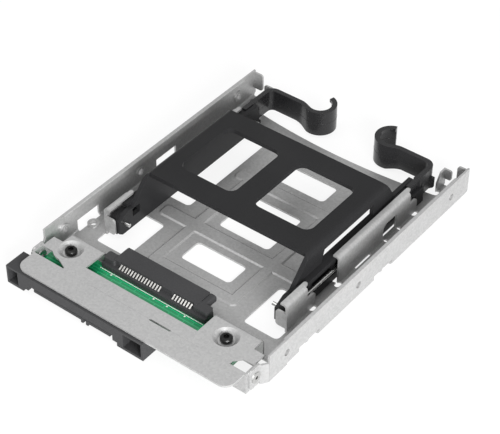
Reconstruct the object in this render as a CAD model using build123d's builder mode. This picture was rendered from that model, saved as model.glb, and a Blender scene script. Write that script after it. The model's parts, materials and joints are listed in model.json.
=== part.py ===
"""Adapter bracket that carries a 2.5 inch drive in a 3.5 inch drive bay.

A sheet steel tray takes the place of a 3.5 inch drive. A black plastic carrier slides under
lanced rails in it, holds the small drive by bent wire pins and is drawn by two squeeze levers.
A short circuit board on the raised front deck joins the drive's socket to the bay's plug.
Millimetres. X runs across the tray, Y from the plug's face to the rear, Z up from its underside.
"""

from build123d import *
import os
from math import cos, radians, sin

os.makedirs("parts", exist_ok=True)

# Sheet and the 3.5 inch drive outline
sheet = 0.8
bend = 1.2
tray_width = 101.6
wall_height = 12.3
wall_front = 18.8
tab_front = 10.7
tab_rear = 16.8
wall_rear = 142.0
wall_in = tray_width / 2 - sheet
hem_front = 28.5
hem_rear = 134.0
hem_depth = 2.6
rear_chamfer = 1.6

# Threaded holes of the 3.5 inch outline
side_hole_z = 6.35
side_hole_y = (28.5, 70.1, 130.1)
bottom_hole_x = 47.625
bottom_hole_y = (41.28, 85.73)
thread_r = 1.4
collar_r = 2.3
collar_length = 0.9
notch_half = 5.8
notch_left = 5.4
notch_right = 3.0

# Raised front deck
deck_top = 9.4
deck_front = 0.9
deck_inset = 2.7
deck_half = wall_in - deck_inset
deck_corner = 4.0
riser_y = 25.6
board_gap_left = -27.6
board_gap_right = 22.9
board_gap_front = 15.6
post_y = 9.6
post_length = 6.2
post_width = 7.6
corner_hole_depth = 5.2
eyelet_r = 1.3
eyelet_z = 5.3
eyelet_y = post_y + 4.3
riser_inset = 4.5
riser_half = deck_half - riser_inset
side_step_y = 20.6
slit = (6.4, 15.8, 0.8)
slit_y = 9.9
crease = (-20.0, 28.0, 0.3, 0.08)

# Floor windows, as low X, high X, low Y, high Y, and pressed ridges
window_front = (-11.3, 11.3, 47.2, 57.8)
window_middle = (-11.5, 11.5, 69.5, 90.5)
window_rear = (-11.5, 11.5, 103.4, 113.5)
rail_window_in = 26.5
window_corner = 1.8
ridge_in = 15.4
ridge_out = 20.3
ridge_height = 0.5
ridge_slope = 52
ridge_rows = ((38.6, 43.6, 20.3), (60.7, 67.0, 33.5), (94.4, 100.2, 24.5))
rear_edge_mid = 129.6
rear_edge_side = 132.8

# Lanced rails
rail_x = 41.5
rail_height = 12.6
rail_lip = 2.9
front_rail = (40.8, 52.6)
front_blank = (35.4, 57.2)
rear_rail = (71.4, 116.4)
rear_blank = (70.8, 118.4)
web_window = (rear_rail[0] + 27.4, rear_rail[0] + 36.4, 2.2, 8.6)
foot_notch = (rear_rail[0] + 14.8, 9.6)
foot_slots = (rear_rail[0] + 29.0, rear_rail[0] + 37.6)
ear = 2.4
stop_tab = (36.6, 1.6, 8.6)
latch_plate = (135.4, 141.0)
latch_height = 8.4
latch_tab = 3.6

# Circuit board and its fasteners
board_top = 4.6
board_thick = 1.6
board_inset = 0.7
board_x = (board_inset - deck_half, 38.4)
board_y = (11.0, 24.8)
board_nose = -39.8
board_tongue_y = 28.0
screw_x = (-38.0, 32.2)
screw_y = 19.4
screw_r = 1.25
head_r = 2.25
head_h = 1.9
dish_r = 5.0
dish_floor_r = 3.0
dish_depth = 1.6
nut_r = 2.7
nut_h = 1.6
slip = 0.05

# Drive socket on the board
socket_x = (-22.9, 14.4)
socket_y = (25.2, 33.1)
socket_top = 9.0
bar_y = (23.0, 28.0)
bar_top = 6.7
ear_left = -27.1
ear_right = 19.9
ear_front = 24.2
arm_width = 2.9
mouth_z = (5.4, 6.9)
contact_pitch = 1.27
contact_width = 0.62
leaf_thick = 0.25
power_count = 15
signal_count = 7
socket_power_x = -19.4
socket_signal_x = 4.73

# Blind mate plug for the drive bay
plug_x = (-51.2, 11.8)
plug_z = (0.4, 8.4)
plug_depth = 9.0
beam_z = 4.3
guide_left = 5.9
guide_right = 10.2
tongue_z = (2.2, 3.4)
power_tongue = (-38.8, -15.7)
signal_tongue = (-14.4, -3.4)
tongue_root = 6.8
plug_power_x = -36.2
plug_signal_x = -12.6

# Carrier for the 2.5 inch drive
drive_half = 34.93
drive_gap = 0.32
side_wall = 1.75
carrier_top = 20.0
plate_thick = 1.9
plate_y = (59.5, 107.3)
plate_corner = 2.6
plate_window = (4.35, 29.4, 69.0, 98.5)
plate_window_r = 3.4
carrier_foot = 0.95
foot_out = 39.4
beam_top = 11.4
front_boss_y = 41.9
carrier_rear = 124.4
skirt_slot = (66.8, 98.6, 11.4, 16.4)

# Drive pins and the wires that carry them
pin_z = 6.0
pin_y = 44.6
pin_pitch = 76.6
pin_tip = 32.6
wire_r = 0.75
wire_x = 39.2
wire_bend = 1.8
hole_slip = 0.03
saddle_y = tuple(pin_y + step for step in (13.4, 27.4, 45.4, 61.4))
front_block = 4.0
rear_block = 6.0

# Squeeze levers
lever_x = 38.3
lever_y = 125.4
knuckle_r = 1.4
knuckle_slip = 0.05
knuckle_block = (2.1, 2.0)
knuckle_top = 8.2
root_start = 119.2
root_gap = 0.35
mouth_in = 62
mouth_out = 50
catch_out = 40.35
catch_y = (130.8, 133.8, 134.9)
catch_z = (3.0, 7.5)
lever_top = 12.0
lever_foot = 2.7
hook_foot = 1.15
strip = 2.0
strip_web = 1.0
rim = 1.5
corner_y = 136.6
corner_r = 3.2
arm_end_x = 23.9
sweep_down = 22.0
link_length = 2.4
dip_r = 7.0
hook_r = 5.7
hook_turn = 186.0
seat_gap = 0.2


def front_plane(y):
    """A plane across the tray at y: local x is X, local y is Z, and it faces the front."""
    return Plane(origin=(0, y, 0), x_dir=(1, 0, 0), z_dir=(0, -1, 0))


def window(box, radius):
    """A rounded window in plan from low X, high X, low Y, high Y."""
    x0, x1, y0, y1 = box
    with Locations(((x0 + x1) / 2, (y0 + y1) / 2)):
        RectangleRounded(x1 - x0, y1 - y0, radius)


def mirror_box(box):
    x0, x1, y0, y1 = box
    return (-x1, -x0, y0, y1)


def folded_rail(y0, y1, ear_length):
    """One lanced rail on the right: web up from the floor, lip turned in, rounded rear ear."""
    with BuildSketch(front_plane(y1)) as section:
        with BuildLine() as fold:
            FilletPolyline(
                (rail_x - sheet / 2, 0),
                (rail_x - sheet / 2, rail_height - sheet / 2),
                (rail_x - rail_lip, rail_height - sheet / 2),
                radius=bend,
            )
        trace(fold.line, sheet)
    extrude(section.sketch, amount=y1 - y0)
    with BuildSketch(Plane.XY.offset(rail_height - sheet)) as lip_end:
        with BuildLine():
            Line((rail_x - bend, y1), (rail_x - rail_lip, y1))
            Line((rail_x - rail_lip, y1), (rail_x - rail_lip, y1 + ear_length / 2))
            RadiusArc(
                (rail_x - rail_lip, y1 + ear_length / 2),
                (rail_x - bend, y1 + ear_length / 2),
                (rail_lip - bend) / 2 + 0.001,
            )
            Line((rail_x - bend, y1 + ear_length / 2), (rail_x - bend, y1))
        make_face()
    extrude(lip_end.sketch, amount=sheet)


# Tray: floor, walls, deck, rails and latch plates from one sheet
with BuildPart() as tray:
    # Floor and both walls as one folded channel
    with BuildSketch(front_plane(wall_rear)):
        with BuildLine() as channel:
            FilletPolyline(
                (-wall_in - sheet / 2, wall_height),
                (-wall_in - sheet / 2, sheet / 2),
                (wall_in + sheet / 2, sheet / 2),
                (wall_in + sheet / 2, wall_height),
                radius=bend,
            )
        trace(channel.line, sheet)
    extrude(amount=wall_rear - riser_y)
    # Hems folded in along the wall tops
    for side in (-1, 1):
        with BuildSketch(front_plane(hem_rear)) as hem:
            with Locations((side * wall_in, wall_height - hem_depth / 2)):
                Rectangle(2 * sheet, hem_depth)
            fillet(hem.vertices().group_by(Axis.Y)[-1], sheet / 2)
        extrude(amount=hem_rear - hem_front)
    # Rear edge of the floor, set back between the side strips
    with BuildSketch():
        with BuildLine():
            Line((-rail_x, wall_rear + 1), (-rail_x, rear_edge_side))
            ThreePointArc(
                (-rail_x, rear_edge_side), (0, rear_edge_mid), (rail_x, rear_edge_side)
            )
            Line((rail_x, rear_edge_side), (rail_x, wall_rear + 1))
            Line((rail_x, wall_rear + 1), (-rail_x, wall_rear + 1))
        make_face()
    extrude(amount=sheet, mode=Mode.SUBTRACT)
    # Pressed ridges across and along the floor, hollow from below
    for level, mode in ((sheet, Mode.ADD), (0, Mode.SUBTRACT)):
        with BuildSketch(Plane.XY.offset(level)) as ridges:
            for y0, y1, half in ridge_rows:
                with Locations((0, (y0 + y1) / 2)):
                    RectangleRounded(2 * half, y1 - y0, 2.0)
            run_front = ridge_rows[0][0]
            run_rear = ridge_rows[-1][1]
            for side in (-1, 1):
                with Locations((side * (ridge_in + ridge_out) / 2, (run_front + run_rear) / 2)):
                    RectangleRounded(ridge_out - ridge_in, run_rear - run_front, 2.0)
        extrude(amount=ridge_height, taper=ridge_slope, mode=mode)
    # Windows of the floor, and the blanks that the rails are lanced from
    with BuildSketch():
        for box in (window_front, window_middle, window_rear):
            window(box, window_corner)
        for y0, y1 in (front_blank, rear_blank):
            blank = (rail_window_in, rail_x, y0, y1)
            window(blank, window_corner)
            window(mirror_box(blank), window_corner)
    extrude(amount=sheet + ridge_height, mode=Mode.SUBTRACT)
    # Deck and riser
    with BuildSketch(Plane.YZ.offset(-deck_half)):
        with BuildLine() as step:
            FilletPolyline(
                (deck_front, deck_top - sheet / 2),
                (riser_y + sheet / 2, deck_top - sheet / 2),
                (riser_y + sheet / 2, sheet / 2),
                (front_blank[0] - 2, sheet / 2),
                radius=bend,
            )
        trace(step.line, sheet)
    extrude(amount=2 * deck_half)
    with BuildSketch(Plane.XY.offset(deck_top - sheet)) as deck_cuts:
        # Front corners
        for side in (-1, 1):
            with Locations((side * deck_half, deck_front)):
                Rectangle(2 * deck_corner, 2 * deck_corner)
            with Locations((side * (deck_half - deck_corner), deck_front + deck_corner)):
                Circle(deck_corner, mode=Mode.SUBTRACT)
        # Opening for the drive socket
        with Locations(
            ((board_gap_left + board_gap_right) / 2, (board_gap_front + riser_y) / 2 + 2)
        ):
            Rectangle(board_gap_right - board_gap_left, riser_y - board_gap_front + 4)
        # Slit on the crease
        with Locations(((slit[0] + slit[1]) / 2, slit_y)):
            SlotOverall(slit[1] - slit[0], slit[2])
    extrude(amount=sheet, mode=Mode.SUBTRACT)
    # Deck and riser end short of the walls behind the side steps
    for side in (-1, 1):
        for low, high, y0, y1 in (
            (deck_top - 2 * sheet, deck_top, side_step_y, riser_y),
            (sheet, deck_top, riser_y - sheet, riser_y + sheet + bend),
        ):
            with Locations((side * (riser_half + 5), (y0 + y1) / 2, (low + high) / 2)):
                Box(10, y1 - y0, high - low, mode=Mode.SUBTRACT)
    # Shallow crease in line with the slit
    crease_mid = (crease[0] + crease[1]) / 2
    with Locations((crease_mid, slit_y, deck_top)):
        Box(crease[1] - crease[0], crease[2], 2 * crease[3], mode=Mode.SUBTRACT)
    # The socket's opening goes down through the riser
    with BuildSketch(front_plane(riser_y + bend + sheet + 1)):
        with Locations(
            ((board_gap_left + board_gap_right) / 2, (deck_top + board_top - 2 * board_thick) / 2)
        ):
            Rectangle(board_gap_right - board_gap_left, deck_top - board_top + 2 * board_thick)
    extrude(amount=bend + 2 * sheet + 2, mode=Mode.SUBTRACT)
    # Walls alone beside the deck
    for side in (-1, 1):
        with BuildSketch(front_plane(riser_y + 3)):
            with Locations((side * (wall_in + sheet / 2), (wall_height + 0.4) / 2)):
                Rectangle(sheet, wall_height - 0.4)
        extrude(amount=riser_y + 3 - wall_front)
    # Corner posts: a front flap and a side flange under the deck, and the wall's jogged tab
    for side in (-1, 1):
        post_in = side * (deck_half + sheet - post_width / 2)
        with BuildSketch(front_plane(post_y + sheet)):
            with Locations((post_in, deck_top / 2 + 0.2)):
                Rectangle(post_width, deck_top - 0.4)
        extrude(amount=sheet)
        with BuildSketch(Plane.YZ.offset(side * deck_half + (0 if side > 0 else -sheet))):
            with Locations((post_y + post_length / 2, deck_top / 2 + 0.2)):
                Rectangle(post_length, deck_top - 0.4)
        extrude(amount=sheet)
        with BuildSketch(Plane.YZ.offset(side * (deck_half + sheet) + (0 if side > 0 else -sheet))):
            with Locations(((tab_front + tab_rear) / 2, deck_top / 2 + 0.8)):
                RectangleRounded(tab_rear - tab_front, deck_top - 0.8, 1.4)
        extrude(amount=sheet)
        with BuildSketch(Plane.XY):
            with BuildLine() as jog:
                Polyline(
                    (side * (deck_half + 1.5 * sheet), tab_rear - 0.4),
                    (side * (wall_in + sheet / 2), wall_front + 0.4),
                )
            trace(jog.line, sheet)
        extrude(amount=deck_top - 0.6)
    # Corner openings in the deck behind the posts
    with BuildSketch(Plane.XY.offset(deck_top - sheet)):
        with BuildLine():
            Polyline(
                (deck_half, post_y + sheet),
                (deck_half, post_y + corner_hole_depth),
                (deck_half - 4.4, post_y + corner_hole_depth),
                (deck_half - 6.8, post_y + sheet + 2),
                (deck_half - 6.8, post_y + sheet),
                (deck_half, post_y + sheet),
            )
        make_face()
        with BuildLine():
            Polyline(
                (-deck_half, post_y + sheet),
                (-deck_half, post_y + corner_hole_depth),
                (screw_x[0] - dish_r * cos(radians(40)), post_y + corner_hole_depth),
                (screw_x[0] + 4.6, post_y + sheet + 0.5),
                (screw_x[0] + 4.6, post_y + sheet),
                (-deck_half, post_y + sheet),
            )
        make_face()
        with Locations((screw_x[0], screw_y)):
            Circle(dish_r + 1.4, mode=Mode.SUBTRACT)
    extrude(amount=sheet, mode=Mode.SUBTRACT)
    # Pressed dishes with drawn collars that stand on the board
    for x in screw_x:
        with Locations((x, screw_y, deck_top - sheet / 2)):
            Cylinder(dish_r, 2 * sheet, mode=Mode.SUBTRACT)
        with BuildSketch(Plane(origin=(x, screw_y, 0), x_dir=(1, 0, 0), z_dir=(0, -1, 0))):
            with BuildLine():
                Polyline(
                    (screw_r + slip, board_top),
                    (screw_r + slip, deck_top - dish_depth),
                    (dish_floor_r, deck_top - dish_depth),
                    (dish_r - 0.3, deck_top),
                    (dish_r + 0.2, deck_top),
                    (dish_r + 0.2, deck_top - sheet),
                    (dish_r, deck_top - sheet),
                    (dish_floor_r + 0.5, deck_top - dish_depth - sheet),
                    (screw_r + slip + sheet, deck_top - dish_depth - sheet),
                    (screw_r + slip + sheet, board_top),
                    (screw_r + slip, board_top),
                )
            make_face()
        revolve(axis=Axis((x, screw_y, 0), (0, 0, 1)))
    # Rails, stop tabs and latch plates on both sides
    with BuildPart(mode=Mode.PRIVATE) as lanced:
        folded_rail(front_rail[0], front_rail[1], ear)
        folded_rail(rear_rail[0], rear_rail[1], ear)
        # Lobes low on the webs behind the lips
        for y1 in (front_rail[1], rear_rail[1]):
            with BuildSketch(Plane.YZ.offset(rail_x - sheet)):
                with Locations((y1 + 1.8, 3.6)):
                    RectangleRounded(6.0, 7.2, 1.6)
            extrude(amount=sheet)
        # Window in the rear web and slot at its foot
        with BuildSketch(Plane.YZ.offset(rail_x - sheet)):
            with BuildLine():
                y0, y1, z0, z1 = web_window
                Polyline(
                    (y0, z0), (y0 + 0.4, z1 - 1.4), (y0 + 2.6, z1), (y1 - 0.8, z1),
                    (y1, z1 - 1.0), (y1 - 0.4, z0), (y0, z0),
                )
            make_face()
        extrude(amount=sheet, mode=Mode.SUBTRACT)
        # Stop tab across the front rail
        with BuildSketch(front_plane(front_rail[0] + sheet)) as stop:
            with Locations(((stop_tab[0] + rail_x - sheet) / 2, (stop_tab[1] + stop_tab[2]) / 2)):
                Rectangle(rail_x - sheet - stop_tab[0], stop_tab[2] - stop_tab[1])
            fillet(stop.vertices().group_by(Axis.X)[0], 1.2)
        extrude(amount=sheet)
        # Latch plate with its turned tab
        with BuildSketch(Plane.YZ.offset(rail_x - sheet)):
            with BuildLine():
                Polyline(
                    (latch_plate[0], 0), (latch_plate[0], 4.4), (latch_plate[0] + 2.4, latch_height),
                    (latch_plate[1], latch_height), (latch_plate[1], 0), (latch_plate[0], 0),
                )
            make_face()
        extrude(amount=sheet)
        with BuildSketch(front_plane(latch_plate[1])) as turned:
            with Locations((rail_x - sheet + latch_tab / 2, latch_height - 2.2)):
                Rectangle(latch_tab, 4.4)
            fillet(turned.vertices().group_by(Axis.X)[-1], 0.9)
        extrude(amount=sheet)
        # Turned end of the wall
        with BuildSketch(front_plane(wall_rear)) as turned_end:
            with Locations((wall_in - 1.6, wall_height - 4.6)):
                Rectangle(4.8, 7.6)
            fillet(turned_end.vertices().group_by(Axis.X)[0], 1.2)
        extrude(amount=sheet)
    add(lanced.part)
    add(mirror(lanced.part, Plane.YZ))
    # Relief holes at the ends of each rail's bend
    with BuildSketch(Plane.XY):
        for side in (-1, 1):
            for y in (front_rail[1] + 3.0, rear_rail[0] - 0.6, rear_rail[1] + 3.2):
                with Locations((side * (rail_x + 0.2), y)):
                    SlotOverall(3.2, 2.2, rotation=90)
            with Locations((side * (rail_x - 0.2), foot_notch[0])):
                Rectangle(1.6, foot_notch[1])
            with Locations((side * (rail_x + 0.2), latch_plate[0] - 0.9)):
                SlotOverall(3.2, 2.2, rotation=90)
            for y in foot_slots:
                with Locations((side * (rail_x + 0.1), y)):
                    Rectangle(2.2, 1.4)
    extrude(amount=sheet, mode=Mode.SUBTRACT)
    # Notches in the wall bends beside the bottom holes
    for side, height in ((-1, notch_left), (1, notch_right)):
        for y in bottom_hole_y:
            with Locations((side * (wall_in + sheet), y, height / 2 - 0.5)):
                Box(2 * bend + 1.0, 2 * notch_half, height + 1.0, mode=Mode.SUBTRACT)
    # Bottom holes with drawn collars
    for side in (-1, 1):
        for y in bottom_hole_y:
            with Locations((side * bottom_hole_x, y, sheet + collar_length / 2)):
                Cylinder(collar_r, collar_length)
            with Locations((side * bottom_hole_x, y, sheet)):
                Cylinder(thread_r, 4 * sheet + collar_length, mode=Mode.SUBTRACT)
    # Side holes with drawn collars
    for side in (-1, 1):
        for y in side_hole_y:
            with BuildSketch(Plane.YZ.offset(side * wall_in - (collar_length if side > 0 else 0))):
                with Locations((y, side_hole_z)):
                    Circle(collar_r)
            extrude(amount=collar_length)
            with BuildSketch(Plane.YZ.offset(side * wall_in - 2)):
                with Locations((y, side_hole_z)):
                    Circle(thread_r)
            extrude(amount=4, mode=Mode.SUBTRACT)
    # Bevel under the rear ends of the walls
    with BuildSketch(Plane.YZ.offset(-tray_width / 2)):
        with BuildLine():
            Polyline(
                (wall_rear - 2 * rear_chamfer, 0), (wall_rear, rear_chamfer), (wall_rear, 0),
                (wall_rear - 2 * rear_chamfer, 0),
            )
        make_face()
    extrude(amount=tray_width, mode=Mode.SUBTRACT)
    # Holes for the corner eyelets
    for side in (-1, 1):
        with BuildSketch(Plane.YZ.offset(side * (deck_half + sheet) - 2)):
            with Locations((eyelet_y, eyelet_z)):
                Circle(eyelet_r)
        extrude(amount=4, mode=Mode.SUBTRACT)
tray.part.label = "tray"

# Eyelets that clinch each deck post to the wall's tab
with BuildPart() as corner_eyelets:
    for side in (-1, 1):
        with BuildSketch(Plane(origin=(0, eyelet_y, eyelet_z), x_dir=(1, 0, 0), z_dir=(0, -1, 0))):
            with BuildLine():
                near = side * (deck_half - 0.4)
                face = side * deck_half
                back = side * (deck_half + 2 * sheet)
                far = side * (deck_half + 2 * sheet + 0.4)
                Polyline(
                    (near, 0.7), (near, 2.1), (face, 2.1), (face, eyelet_r), (back, eyelet_r),
                    (back, 2.1), (far, 2.1), (far, 0.7), (near, 0.7),
                )
            make_face()
        revolve(axis=Axis((0, eyelet_y, eyelet_z), (1, 0, 0)))
corner_eyelets.part.label = "corner_eyelets"

ear_mid = ((ear_left + socket_x[0]) / 2, (ear_right + socket_x[1]) / 2)
clip_y = ear_front + 1.6

# Circuit board
with BuildPart() as adapter_board:
    with BuildSketch(Plane.XY.offset(board_top - board_thick)):
        window((board_x[0], board_x[1], board_y[0], board_y[1]), 1.0)
        window((board_nose, board_x[1], plug_depth + 0.1, board_y[1]), 1.0)
        window((board_x[0], -riser_half - 0.3, board_y[0] + 4, board_tongue_y), 0.6)
        window((board_gap_left + 0.6, board_gap_right - 0.4, board_y[0] + 4, board_tongue_y), 1.0)
        with Locations(*((x, screw_y) for x in screw_x)):
            Circle(screw_r + slip, mode=Mode.SUBTRACT)
    extrude(amount=board_thick)
    # Slots for the socket's clips
    for x in ear_mid:
        with Locations((x, clip_y, board_top - board_thick / 2)):
            Box(1.9, 0.5, board_thick, mode=Mode.SUBTRACT)
adapter_board.part.label = "adapter_board"

# Board screws from above, each in its dish
with BuildPart() as board_screws:
    for x in screw_x:
        with BuildSketch(Plane(origin=(x, screw_y, 0), x_dir=(1, 0, 0), z_dir=(0, -1, 0))):
            with BuildLine():
                seat = deck_top - dish_depth
                Polyline(
                    (0, board_top - board_thick - nut_h), (screw_r, board_top - board_thick - nut_h),
                    (screw_r, seat), (head_r, seat), (head_r, seat + head_h - 0.5),
                    (head_r - 0.5, seat + head_h), (0, seat + head_h),
                    (0, board_top - board_thick - nut_h),
                )
            make_face()
        revolve(axis=Axis((x, screw_y, 0), (0, 0, 1)))
        with BuildSketch(Plane(origin=(x, screw_y, deck_top - dish_depth + head_h))):
            RegularPolygon(1.1, 6)
        extrude(amount=-1.0, mode=Mode.SUBTRACT)
board_screws.part.label = "board_screws"

# Nuts under the board
with BuildPart() as board_nuts:
    for x in screw_x:
        with BuildSketch(Plane(origin=(x, screw_y, board_top - board_thick))):
            RegularPolygon(nut_r, 6)
            Circle(screw_r + slip, mode=Mode.SUBTRACT)
        extrude(amount=-nut_h)
board_nuts.part.label = "board_nuts"


def socket_contact(x):
    """One leaf of the drive socket: tip in the mouth, bare slope at the front, foot on the board."""
    with BuildSketch(Plane.YZ.offset(x - contact_width / 2)) as side_view:
        with BuildLine() as leaf:
            Polyline(
                (socket_y[1] - 1.2, 7.0), (socket_y[0] + 2.2, 7.0), (socket_y[0] + 0.5, 7.9),
                (socket_y[0] - 1.2, bar_top + 0.15), (socket_y[0] - 1.3, board_top + 0.13),
                (socket_y[0] + 0.4, board_top + 0.13),
            )
        trace(leaf.line, leaf_thick)
    extrude(side_view.sketch, amount=contact_width)


with BuildPart() as socket_power_contacts:
    for i in range(power_count):
        socket_contact(socket_power_x + i * contact_pitch)
socket_power_contacts.part.label = "socket_power_contacts"

with BuildPart() as socket_signal_contacts:
    for i in range(signal_count):
        socket_contact(socket_signal_x + i * contact_pitch)
socket_signal_contacts.part.label = "socket_signal_contacts"

# Metal clips that hold the socket's ears to the board
with BuildPart() as socket_clips:
    for x in ear_mid:
        with Locations((x, clip_y, (board_top - board_thick + 7.4) / 2)):
            Box(1.8, 0.4, 7.4 - board_top + board_thick)
socket_clips.part.label = "socket_clips"

# Drive socket body
with BuildPart() as drive_socket:
    # Main block, ears and front bar
    with BuildSketch(Plane.XY.offset(board_top)):
        window((socket_x[0], socket_x[1], socket_y[0], socket_y[1]), 0.5)
    extrude(amount=socket_top - board_top)
    with BuildSketch(Plane.XY.offset(board_top)):
        for x0, x1 in ((ear_left, socket_x[0] + 1), (socket_x[1] - 1, ear_right)):
            window((x0, x1, ear_front, bar_y[1]), 0.8)
    extrude(amount=socket_top - board_top - 0.2)
    with BuildSketch(Plane.XY.offset(board_top)):
        window((ear_left, ear_right, bar_y[0], bar_y[1]), 0.4)
    extrude(amount=bar_top - board_top)
    # Guide arm beside the mouth
    with BuildSketch(front_plane(socket_y[1])) as arm:
        with Locations((socket_x[1] + arm_width / 2 - 0.3, (bar_top + socket_top) / 2 - 0.2)):
            Rectangle(arm_width, socket_top - bar_top)
        fillet(arm.vertices().group_by(Axis.Y)[-1], 0.8)
    extrude(amount=socket_y[1] - bar_y[1] + 2)
    # Recess above the bare slopes of the leaves
    for first, count in ((socket_power_x, power_count), (socket_signal_x, signal_count)):
        span = (count - 1) * contact_pitch + 1.6
        with Locations((first + (count - 1) * contact_pitch / 2, socket_y[0], socket_top - 0.6)):
            Box(span, 0.8, 1.8, mode=Mode.SUBTRACT)
    # Mouth for the drive's blades, with a step at the signal end
    with BuildSketch(front_plane(socket_y[1])):
        with BuildLine():
            left = socket_power_x - 1.3
            right = socket_signal_x + (signal_count - 1) * contact_pitch + 1.3
            Polyline(
                (left, mouth_z[0]), (left, mouth_z[1]), (right, mouth_z[1]), (right, mouth_z[0] - 0.5),
                (right - 1.1, mouth_z[0] - 0.5), (right - 1.1, mouth_z[0]), (left, mouth_z[0]),
            )
        make_face()
    extrude(amount=4.6, mode=Mode.SUBTRACT)
    # Channels for the leaves and slots for the clips
    add(socket_power_contacts.part, mode=Mode.SUBTRACT)
    add(socket_signal_contacts.part, mode=Mode.SUBTRACT)
    add(socket_clips.part, mode=Mode.SUBTRACT)
drive_socket.part.label = "drive_socket"


def plug_contact(x):
    """One strip of the plug: contact face on the tongue, tail on the board."""
    with BuildSketch(Plane.YZ.offset(x - contact_width / 2)) as side_view:
        with BuildLine() as strip_line:
            Polyline(
                (1.2, tongue_z[1] - 0.1), (tongue_root + 0.8, tongue_z[1] - 0.1),
                (plug_depth - 0.6, board_top + 0.13), (plug_depth + 2.0, board_top + 0.13),
            )
        trace(strip_line.line, 0.25)
    extrude(side_view.sketch, amount=contact_width)


with BuildPart() as plug_power_contacts:
    for i in range(power_count):
        plug_contact(plug_power_x + i * contact_pitch)
plug_power_contacts.part.label = "plug_power_contacts"

with BuildPart() as plug_signal_contacts:
    for i in range(signal_count):
        plug_contact(plug_signal_x + i * contact_pitch)
plug_signal_contacts.part.label = "plug_signal_contacts"

# Blind mate plug body
with BuildPart() as bay_plug:
    with BuildSketch(front_plane(plug_depth)):
        with BuildLine():
            Polyline(
                (plug_x[0], plug_z[0]), (plug_x[0] + guide_left + 1.8, plug_z[0]),
                (plug_x[0] + guide_left + 1.8, 2.0), (power_tongue[0] - 2.2, 2.0),
                (power_tongue[0] - 2.2, beam_z), (signal_tongue[1] + 1.6, beam_z),
                (signal_tongue[1] + 1.6, 2.0), (plug_x[1] - guide_right - 1.4, 2.0),
                (plug_x[1] - guide_right - 1.4, plug_z[0]), (plug_x[1], plug_z[0]),
                (plug_x[1], plug_z[1]), (plug_x[0], plug_z[1]), (plug_x[0], plug_z[0]),
            )
        make_face()
    extrude(amount=plug_depth)
    # Rear wall of the mating bay, and the two tongues
    with BuildSketch(front_plane(plug_depth)):
        with Locations(((power_tongue[0] + signal_tongue[1]) / 2, (1.6 + beam_z + 0.2) / 2)):
            Rectangle(signal_tongue[1] - power_tongue[0] + 4.0, beam_z + 0.2 - 1.6)
    extrude(amount=plug_depth - tongue_root)
    for x0, x1 in (power_tongue, signal_tongue):
        with BuildSketch(front_plane(tongue_root)):
            with Locations(((x0 + x1) / 2, (tongue_z[0] + tongue_z[1]) / 2)):
                Rectangle(x1 - x0, tongue_z[1] - tongue_z[0])
        extrude(amount=tongue_root - 0.5)
    # Keys turned down at the inner ends of the tongues
    for x in (power_tongue[1] - 0.5, signal_tongue[0] + 0.5):
        with Locations((x, (tongue_root + 0.5) / 2, tongue_z[0] - 0.5)):
            Box(1.0, tongue_root - 0.5, 1.2)
    # Square guide sockets
    guide_z = (plug_z[0] + 1.1, plug_z[1] - 0.9)
    with BuildSketch(front_plane(plug_depth - 1.2)):
        for x0, x1 in (
            (plug_x[0] + 0.8, plug_x[0] + guide_left - 0.6),
            (plug_x[1] - guide_right + 1.4, plug_x[1] - 0.9),
        ):
            with Locations(((x0 + x1) / 2, (guide_z[0] + guide_z[1]) / 2)):
                Rectangle(x1 - x0, guide_z[1] - guide_z[0])
    extrude(amount=plug_depth, mode=Mode.SUBTRACT)
    # Step at the rear that laps the board
    with BuildSketch(Plane.XY.offset(board_top)):
        window((board_nose, plug_x[1] - 4.0, plug_depth - 1.0, plug_depth + 1.6), 0.4)
    extrude(amount=plug_z[1] - board_top - 1.0)
    add(plug_power_contacts.part, mode=Mode.SUBTRACT)
    add(plug_signal_contacts.part, mode=Mode.SUBTRACT)
bay_plug.part.label = "bay_plug"

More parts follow.
